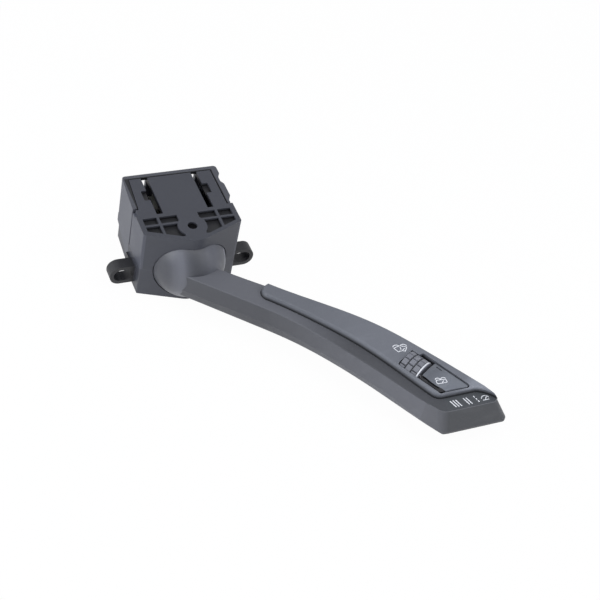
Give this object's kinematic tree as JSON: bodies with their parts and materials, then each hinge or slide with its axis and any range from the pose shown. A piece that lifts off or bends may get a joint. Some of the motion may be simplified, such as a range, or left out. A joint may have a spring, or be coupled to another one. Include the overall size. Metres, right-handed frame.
{
  "type": "windscreen wiper stalk switch",
  "caption": "Steering column stalk switch for wipers and washers: boxed switch module, ball joint, bent lever with knurled thumbwheel, push button and marked end.",
  "frame": {"origin": "centre between the two fixing ears' slots, on the ears' rear seating face", "axes": "+Z out of the ribbed top cover, +Y to the rear where the plug goes in, so the stalk points to -Y and +X"},
  "size_m": [0.1482, 0.1677, 0.0381],
  "materials": {
    "case_grey": "fine grained",
    "cover_grey": "fine grained",
    "tray_grey": "fine grained",
    "screw_steel": "zinc plated",
    "board_green": "solder mask",
    "chip_black": "moulded",
    "connector_black": "moulded",
    "pin_brass": "tinned",
    "cam_natural": "smooth",
    "guide_natural": "smooth",
    "slider_black": "smooth",
    "contact_brass": "bright",
    "yoke_grey": "smooth",
    "ball_grey": "satin",
    "core_black": "glass filled",
    "pin_steel": "ground",
    "plunger_natural": "smooth",
    "spring_steel": "bright",
    "stalk_grey": "fine grained",
    "stalk_cover_grey": "fine grained",
    "stalk_end_grey": "fine grained",
    "strip_black": "semi gloss",
    "stalk_screw_steel": "zinc plated",
    "cradle_black": "smooth",
    "wheel_grey": "ribbed",
    "ring_white": "smooth",
    "axle_steel": "ground",
    "button_grey": "satin",
    "dome_rubber": "silicone",
    "stalk_board_green": "solder mask",
    "ribbon_amber": "polyimide film",
    "plug_white": "moulded"
  },
  "bodies": {
    "case": {"rear_housing": "case_grey", "top_cover": "cover_grey", "lower_housing": "tray_grey", "housing_screws": "screw_steel", "circuit_board": "board_green", "board_chips": "chip_black", "connector_shroud": "connector_black", "connector_pins": "pin_brass", "centring_cam": "cam_natural", "slider_guide": "guide_natural"},
    "yoke": {"swing_yoke": "yoke_grey"},
    "slider": {"contact_slider": "slider_black", "contact_springs": "contact_brass"},
    "stalk": {"ball_cover": "ball_grey", "lever_core": "core_black", "tilt_pins": "pin_steel", "plunger_spring": "spring_steel", "stalk_lower_shell": "stalk_grey", "stalk_upper_cover": "stalk_cover_grey", "stalk_end_cap": "stalk_end_grey", "marked_end_strip": "strip_black", "stalk_screws": "stalk_screw_steel", "wheel_cradle": "cradle_black", "stalk_board": "stalk_board_green", "stalk_ribbon": "ribbon_amber", "stalk_ribbon_plug": "plug_white", "button_dome": "dome_rubber"},
    "plunger": {"cam_plunger": "plunger_natural"},
    "wheel": {"thumbwheel": "wheel_grey", "wheel_ring": "ring_white", "wheel_axle": "axle_steel"},
    "button": {"rear_wiper_button": "button_grey"}
  },
  "joints": [
    {"name": "stalk_swing", "type": "hinge", "parent": "case", "child": "yoke", "pos_m": [0, -0.0092, 0.0081], "axis": [0, 0, 1], "range_deg": [-9, 9]},
    {"name": "stalk_pull", "type": "hinge", "parent": "yoke", "child": "stalk", "pos_m": [0, -0.0092, 0.0081], "axis": [1, 0, 0], "range_deg": [-6, 6], "stiffness_Nm_per_rad": 8},
    {"name": "cam_plunger_slide", "type": "slide", "parent": "stalk", "child": "plunger", "axis": [0, 1, 0], "range_m": [-0.0012, 0], "stiffness_N_per_m": 500, "springref_m": 0.003, "deforming": ["plunger_spring"]},
    {"name": "slider_shift", "type": "slide", "parent": "case", "child": "slider", "axis": [1, 0, 0], "range_m": [-0.0029, 0.0029]},
    {"name": "thumbwheel_turn", "type": "hinge", "parent": "stalk", "child": "wheel", "pos_m": [0.07531, -0.10024, 0.0101], "axis": [0.5, -0.866, 0], "range_deg": [-40, 40]},
    {"name": "button_press", "type": "slide", "parent": "stalk", "child": "button", "axis": [0, 0, -1], "range_m": [0, 0.0012], "stiffness_N_per_m": 900, "springref_m": -0.001, "deforming": ["button_dome"]}
  ],
  "couplings": [
    {"joint": "slider_shift", "follows": "stalk_swing", "m_per_rad": -0.018}
  ]
}
